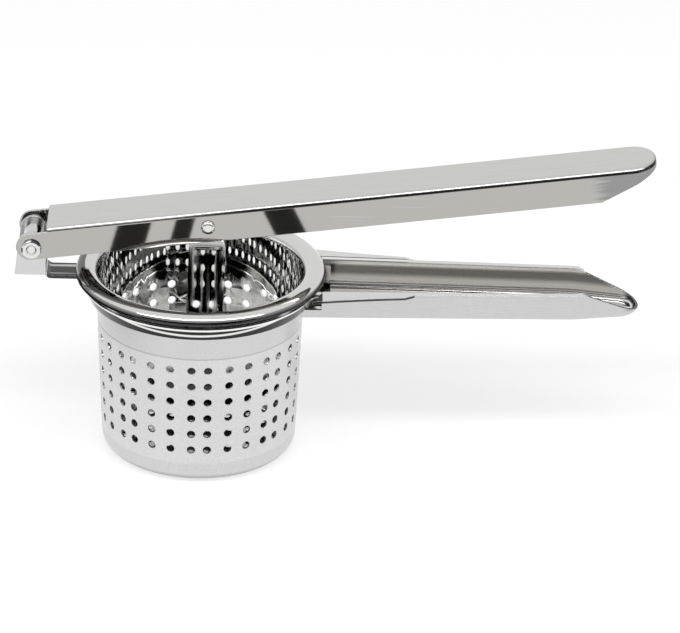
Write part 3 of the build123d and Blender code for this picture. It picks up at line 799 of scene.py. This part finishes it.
@dataclass
class PressingLever:
    """The folded lever with its plunger pin, whose zones lie along the untilted lever.

    Args:
        effects: the shared node groups.
        end_start: where the skirt's slanted end begins.
        end_ragged: how far the painted darker reflection of the slanted end reaches unevenly, along the
            brushing lines.
        ragged_fineness: how many lines of that brushing go to a metre, about.
        shade_start: where the dark line under the fold begins.
        shade_full: where that line is at its darkest.
        nose_start: where the rounded end's painted dark reflection line begins.
        nose_length: over what length that line grows dark.
        skirt: finish of the lever's sides.
        pin: finish of the plunger pin.
    """

    effects: SharedEffects
    end_start: float = 0.1756
    end_ragged: float = 0.008
    ragged_fineness: float = 900.0
    shade_start: float = -0.010
    shade_full: float = 0.040
    nose_start: float = 0.1915
    nose_length: float = 0.006
    fold_facing: Span = (0.40, 0.58)
    top_facing: Span = (0.90, 0.99)
    shade_facing: Span = (0.02, 0.10)
    shade_past_facing: Span = (0.62, 0.48)
    nose_facing: Span = (0.02, 0.12)
    nose_past_facing: Span = (0.75, 0.60)
    skirt: SteelFinish = SteelFinish(
        "lever polished steel",
        Look((0.435, 0.427, 0.406), 0.03, 0.008),
        GrainRun.LENGTHWISE,
        tilt=math.radians(7.7),
    )
    # Painted darker reflection on the skirt's slanted end.
    end_reflection_look: Look = Look((0.285, 0.285, 0.285), 0.10, 0.03)
    fold_look: Look = Look((0.64, 0.64, 0.63), 0.24, 0.02)
    top_look: Look = Look((0.71, 0.71, 0.695), 0.32, 0.05)
    fold_shade_look: Look = Look((0.05, 0.05, 0.05), 0.08, 0.02)
    # Painted dark reflection line round the rounded end.
    nose_reflection_look: Look = Look((0.03, 0.03, 0.03), 0.06, 0.01)
    pin: SteelFinish = SteelFinish("plunger pin steel", Look((0.72, 0.72, 0.71), 0.06, 0.03))

    def dress(self) -> None:
        """Builds the finishes and puts them on the lever and its pin."""
        steel = SteelMaterial(self.skirt, self.effects)
        bench = steel.bench
        along = steel.axes("Object")[0]
        upward = steel.axes("Normal")[2]
        # Painted darker reflection on the slanted end, with a ragged edge along the brushing lines.
        ragged = bench.times(steel.lines(GrainRun.LENGTHWISE, self.ragged_fineness), self.end_ragged)
        reached = bench.math("ADD", along, ragged)
        steel.lay(self.end_reflection_look, bench.ramp(reached, self.end_start, self.end_start + self.end_ragged))
        steel.lay(self.fold_look, bench.ramp(upward, *self.fold_facing))
        steel.lay(self.top_look, bench.ramp(upward, *self.top_facing))
        reach = bench.ramp(along, self.shade_start, self.shade_full)
        under, past = (bench.ramp(upward, *span) for span in (self.shade_facing, self.shade_past_facing))
        steel.lay(self.fold_shade_look, under, past, reach)
        # Painted dark reflection line round the rounded end.
        nose = bench.ramp(along, self.nose_start, self.nose_start + self.nose_length)
        under, past = (bench.ramp(upward, *span) for span in (self.nose_facing, self.nose_past_facing))
        steel.lay(self.nose_reflection_look, under, past, nose)
        dress_node("lever", steel.close())
        dress_node("plunger_pin", SteelMaterial(self.pin, self.effects).close())


@dataclass
class Plunger:
    """The pressing disc on its stem.

    Args:
        effects: the shared node groups.
        back_blur: half the width over which the disc's painted shade on the front half fades into its back
            half.
        streak_fineness: how many painted reflection streaks of the stem go to a metre, about.
        streak_span: the values of those streaks that turn bright.
        stem: finish of the stem.
        disc: finish of the disc.
        small: finish of the rivets and the spacer.
    """

    effects: SharedEffects
    back_blur: float = 0.006
    streak_fineness: float = 450.0
    streak_span: Span = (0.54, 0.84)
    shade_facing: Span = (-0.5, -0.2)
    top_facing: Span = (0.6, 0.9)
    stem: SteelFinish = SteelFinish(
        "stem polished steel", Look((0.86, 0.86, 0.85), 0.012, 0.002), GrainRun.UPRIGHT
    )
    # Painted reflection streaks, upright on the stem.
    stem_reflection_streak_look: Look = Look((0.95, 0.95, 0.94), 0.16, 0.002)
    disc: SteelFinish = SteelFinish(
        "disc polished steel", Look((0.62, 0.62, 0.61), 0.14, 0.03), edge_highlight_and_wear=0.05
    )
    # Painted shade on the front half, and a painted reflection on the top behind.
    disc_shade_look: Look = Look((0.02, 0.02, 0.02), 0.05, 0.01)
    disc_back_reflection_look: Look = Look((0.76, 0.76, 0.75), 0.12, 0.02)
    small: SteelFinish = SteelFinish("rivet bright steel", Look((0.70, 0.70, 0.69), 0.10, 0.03))

    def dress(self) -> None:
        """Builds the finishes and puts them on the plunger's pieces."""
        stem = SteelMaterial(self.stem, self.effects)
        # Painted reflection streaks, upright on the stem.
        lines = stem.lines(GrainRun.UPRIGHT, self.streak_fineness)
        stem.lay(self.stem_reflection_streak_look, stem.bench.ramp(lines, *self.streak_span))
        dress_node("plunger_stem", stem.close())
        self._dress_disc()
        small = SteelMaterial(self.small, self.effects).close()
        dress_node("stem_rivets", small)
        dress_node("plunger_spacer", small)

    def _dress_disc(self) -> None:
        """Gives the disc a front half with painted shade, except below, and a painted reflection on its top
        behind.
        """
        disc = SteelMaterial(self.disc, self.effects)
        bench = disc.bench
        depth = disc.axes("Object")[1]
        upward = disc.axes("Normal")[2]
        # Painted shade on the front half, except below, and a painted reflection on the top behind.
        front = bench.ramp(depth, self.back_blur, -self.back_blur)
        back = bench.ramp(depth, -self.back_blur, self.back_blur)
        disc.lay(self.disc_shade_look, front, bench.ramp(upward, *self.shade_facing))
        disc.lay(self.disc_back_reflection_look, back, bench.ramp(upward, *self.top_facing))
        dress_node("plunger_disc", disc.close())


@dataclass
class PhotoCamera:
    """A long lens at the photograph's viewing angle.

    Args:
        azimuth: degrees around Z, 0 looks along +Y.
        elevation: degrees above the floor.
        roll: degrees about the view's axis.
        distance: from the camera to its target.
        target: the point in the middle of the picture.
        focal_pixels: focal length, in pixels of the picture.
        picture_width: width of the picture, in pixels.
        sensor: sensor width, in millimetres.
        reach: how far the camera sees.
    """

    azimuth: float = -0.52
    elevation: float = 26.17
    roll: float = 1.48
    distance: float = 2.0
    target: Vector = field(default_factory=lambda: Vector((0.05746, 0.0, 0.05772)))
    focal_pixels: float = 4873.6
    picture_width: int = 680
    sensor: float = 36.0
    reach: float = 20.0

    def build(self) -> None:
        """Makes the camera and gives it to the scene."""
        azimuth, elevation, roll = (math.radians(a) for a in (self.azimuth, self.elevation, self.roll))
        back = Vector(
            (
                math.sin(azimuth) * math.cos(elevation),
                -math.cos(azimuth) * math.cos(elevation),
                math.sin(elevation),
            )
        )
        level = Vector((math.cos(azimuth), math.sin(azimuth), 0.0))
        upright = back.cross(level)
        right = level * math.cos(roll) + upright * math.sin(roll)
        up = upright * math.cos(roll) - level * math.sin(roll)
        bpy.ops.object.camera_add()
        camera = bpy.context.object
        camera.name = "photo_camera"
        turn = Matrix((right, up, back)).transposed()
        camera.matrix_world = Matrix.LocRotScale(self.target + back * self.distance, turn, None)
        camera.data.sensor_width = self.sensor
        camera.data.lens = self.focal_pixels / self.picture_width * self.sensor
        camera.data.clip_end = self.reach
        bpy.context.scene.camera = camera


@dataclass(frozen=True)
class Flag:
    """A dark card that only reflections show.

    Args:
        name: the card's name.
        place: its middle.
        size: its width and height.
        turn: its angles about x, y and z, in degrees.
    """

    name: str
    place: Point
    size: Pair
    turn: Point = (0.0, 0.0, 0.0)


@dataclass(frozen=True)
class FloorCard:
    """A dark card on the floor before the ricer, which the lever's skirt mirrors.

    Args:
        left: its left edge, along x.
        right: its right edge, along x.
        near: its edge towards the ricer, along y.
        far: its edge away from the ricer, along y.
        turn: its turn about Z, in degrees.
        height: how far it lies above the basket's bottom.
    """

    left: float
    right: float
    near: float
    far: float
    turn: float
    height: float = 0.001

    def flag(self, number: int) -> Flag:
        """Gives the card as a flag.

        Args:
            number: the card's number, for its name.

        Returns:
            The flag.
        """
        middle = ((self.left + self.right) / 2, (self.near + self.far) / 2, self.height)
        size = (self.right - self.left, self.near - self.far)
        return Flag(f"patch_flag_{number}", middle, size, (0.0, 0.0, self.turn))


@dataclass
class Studio:
    """White floor and world, one long lamp, and dark flags that only reflections show.

    Args:
        floor_size: side of the floor.
        floor_drop: how far the floor lies below the basket's bottom.
        floor_white: colour of the floor.
        floor_glow: share of the floor's white that shadows don't darken.
        glow_strength: how bright that share is.
        fill: how strongly the world lights the object.
        key_power: power of the lamp, in watts.
        key_place: where the lamp hangs.
        key_size: length and height of the lamp.
        key_aim: the point that the lamp faces.
        flag_black: colour of the flags.
        flag_roughness: how dull the flags are.
        flags: the flags round the ricer.
        cards: the dark cards before the ricer.
    """

    floor_size: float = 6.0
    floor_drop: float = 0.0002
    floor_white: Colour = (0.97, 0.97, 0.97)
    floor_glow: float = 0.32
    glow_strength: float = 1.81
    fill: float = 0.55
    key_power: float = 9.0
    key_place: Point = (0.05, -0.65, 1.15)
    key_size: Pair = (2.6, 0.22)
    key_aim: Point = (0.04, 0.0, 0.06)
    flag_black: Colour = (0.01, 0.01, 0.01)
    flag_roughness: float = 0.9
    flags: tuple[Flag, ...] = (
        Flag("front_flag", (0.0, -1.2, 0.22), (3.0, 0.50), (90.0, 0.0, 0.0)),
        Flag("left_flag", (-0.34, 0.02, 0.001), (0.34, 0.5)),
        Flag("right_flag", (0.33, 0.02, 0.001), (0.05, 0.5)),
    )
    cards: tuple[FloorCard, ...] = (
        FloorCard(-0.0436, -0.0287, -0.190, -0.240, 5.0),
        FloorCard(-0.0175, -0.0090, -0.200, -0.242, 5.0),
        FloorCard(0.0257, 0.0403, -0.205, -0.268, -13.0),
    )

    def build(self) -> None:
        """Makes the floor, the world, the lamp and the flags."""
        self._lay_floor()
        self._light_world()
        self._hang_lamp()
        dark = self._flag_material()
        cards = tuple(card.flag(number) for number, card in enumerate(self.cards, start=1))
        for plan in self.flags + cards:
            self._set_flag(plan, dark)

    @staticmethod
    def _seen(bench: NodeBench) -> Socket:
        """Gives 1 on rays that show the background and 0 on those that only light the object.

        Args:
            bench: the tree that asks.

        Returns:
            The mask.
        """
        path = bench.add("ShaderNodeLightPath")
        direct = bench.math("ADD", path.outputs["Is Camera Ray"], path.outputs["Is Glossy Ray"])
        return bench.math("MINIMUM", bench.math("ADD", direct, path.outputs["Is Transmission Ray"]), 1.0)

    def _lay_floor(self) -> None:
        """Makes a white floor that keeps a soft shadow."""
        bpy.ops.object.select_all(action="DESELECT")
        bpy.ops.mesh.primitive_plane_add(size=self.floor_size, location=(0.0, 0.0, -self.floor_drop))
        floor = bpy.context.object
        floor.name = "studio_floor"
        material = bpy.data.materials.new("white floor")
        material.use_nodes = True
        material.node_tree.nodes.clear()
        bench = NodeBench(material.node_tree)
        paper = bench.add("ShaderNodeBsdfDiffuse", {"Color": bench.rgba(self.floor_white)}).outputs[0]
        glow = bench.add("ShaderNodeEmission", {"Strength": self.glow_strength}).outputs[0]
        share = bench.times(self._seen(bench), self.floor_glow)
        mix = bench.add("ShaderNodeMixShader", {0: share, 1: paper, 2: glow})
        bench.add("ShaderNodeOutputMaterial", {"Surface": mix.outputs[0]})
        floor.data.materials.append(material)

    def _light_world(self) -> None:
        """Makes a white world that lights the object at a plain level."""
        world = bpy.data.worlds.new("white studio")
        bpy.context.scene.world = world
        world.use_nodes = True
        world.node_tree.nodes.clear()
        bench = NodeBench(world.node_tree)
        sky = bench.add("ShaderNodeBackground", {"Strength": bench.blend(self._seen(bench), self.fill, 1.0)})
        bench.add("ShaderNodeOutputWorld", {"Surface": sky.outputs[0]})

    def _hang_lamp(self) -> None:
        """Hangs a long soft box that faces the basket."""
        bpy.ops.object.light_add(type="AREA", location=self.key_place)
        lamp = bpy.context.object
        lamp.name = "key_lamp"
        lamp.data.shape = "RECTANGLE"
        lamp.data.size, lamp.data.size_y = self.key_size
        lamp.data.energy = self.key_power
        aim = Vector(self.key_aim) - Vector(self.key_place)
        lamp.rotation_euler = aim.to_track_quat("-Z", "Y").to_euler()

    def _flag_material(self) -> bpy.types.Material:
        """Makes the dull black of the flags.

        Returns:
            The material.
        """
        material = bpy.data.materials.new("dark flag")
        material.use_nodes = True
        coat = material.node_tree.nodes["Principled BSDF"]
        coat.inputs["Base Color"].default_value = (*self.flag_black, 1.0)
        coat.inputs["Roughness"].default_value = self.flag_roughness
        return material

    @staticmethod
    def _set_flag(plan: Flag, material: bpy.types.Material) -> None:
        """Sets up a flag.

        Args:
            plan: the flag's name and place.
            material: what it is covered with.
        """
        bpy.ops.object.select_all(action="DESELECT")
        angles = tuple(math.radians(a) for a in plan.turn)
        bpy.ops.mesh.primitive_plane_add(size=1.0, location=plan.place, rotation=angles)
        flag = bpy.context.object
        flag.name = plan.name
        flag.scale = (*plan.size, 1.0)
        flag.data.materials.append(material)
        flag.visible_camera = False
        flag.visible_diffuse = False
        flag.visible_shadow = False
        flag.visible_transmission = False


def main() -> None:
    """Dresses the part, and sets up the studio and the camera."""
    logging.basicConfig(level=logging.INFO)
    bpy.context.scene.view_settings.view_transform = "Standard"
    bpy.ops.object.select_all(action="DESELECT")
    effects = SharedEffects()
    Basket(effects).dress()
    RingFrame(effects).dress()
    Hinge(effects).dress()
    PressingLever(effects).dress()
    Plunger(effects).dress()
    Studio().build()
    PhotoCamera().build()


if __name__ == "__main__":
    main()
